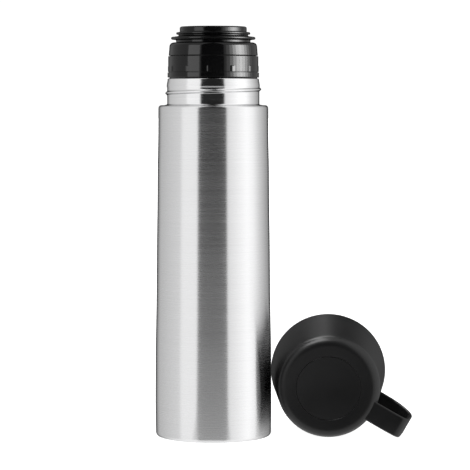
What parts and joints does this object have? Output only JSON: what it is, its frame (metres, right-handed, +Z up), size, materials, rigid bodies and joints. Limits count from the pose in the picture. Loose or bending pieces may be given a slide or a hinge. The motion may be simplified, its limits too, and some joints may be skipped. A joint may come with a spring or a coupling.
{
  "type": "vacuum flask",
  "caption": "Tall brushed-steel vacuum flask with a screw stopper and push-button pour valve, standing beside its black screw-on drinking cup with strap handle.",
  "frame": {"origin": "centre of the flask's standing face", "axes": "+Z up along the flask, -Y towards the viewer, +X towards the cup"},
  "size_m": [0.1947, 0.0921, 0.308],
  "materials": {
    "brushed_shell": "fine circumferential brushing",
    "bright_steel": "bright drawn steel",
    "base_rubber": "moulded matt",
    "getter_grey": "sintered",
    "solder": "solder bead",
    "foil": "bright foil",
    "stopper_black": "polished mould",
    "seal_black": "satin silicone",
    "seal_clear": "milky silicone",
    "inner_plastic": "moulded",
    "button_grey": "satin",
    "spring_steel": "bright wire",
    "cup_black": "soft matt"
  },
  "bodies": {
    "flask": {"outer_shell": "brushed_shell", "inner_vessel": "bright_steel", "vessel_bottom": "bright_steel", "outer_bottom": "bright_steel", "base_cover": "base_rubber", "vacuum_seal": "solder", "getter": "getter_grey", "radiation_foil": "foil"},
    "stopper_plug": {"stopper_dome": "stopper_black", "plug_tube": "inner_plastic", "lip_seal_ring": "seal_black", "throat_seal": "seal_clear", "snap_ring": "inner_plastic", "stem_guide": "inner_plastic", "button_spring": "spring_steel"},
    "stopper_ring": {"screw_ring": "stopper_black", "rim_gasket": "seal_black"},
    "button": {"push_button": "button_grey", "valve_stem": "inner_plastic", "valve_plug": "inner_plastic", "valve_seal": "seal_clear", "stem_clip": "spring_steel"},
    "cup": {"cup_shell": "cup_black", "cup_liner": "bright_steel", "cup_base_disc": "cup_black", "cup_handle": "cup_black"}
  },
  "joints": [
    {"name": "stopper_lift", "type": "slide", "parent": "flask", "child": "stopper_plug", "axis": [0, 0, 1], "range_m": [0, 0.06]},
    {"name": "stopper_turn", "type": "hinge", "parent": "stopper_plug", "child": "stopper_ring", "pos_m": [0, 0, 0.278], "axis": [0, 0, 1], "range_deg": [0, 1800]},
    {"name": "button_press", "type": "slide", "parent": "stopper_plug", "child": "button", "axis": [0, 0, -1], "range_m": [0, 0.0035], "stiffness_N_per_m": 900, "springref_m": -0.003, "deforming": ["button_spring"]},
    {"name": "cup_tip", "type": "hinge", "parent": "flask", "child": "cup", "pos_m": [0.08862, 0.04806, 0], "axis": [-0.9994, 0.0349, 0], "range_deg": [0, 95.41]}
  ],
  "couplings": [
    {"joint": "stopper_turn", "follows": "stopper_lift", "rad_per_m": 523.6}
  ]
}
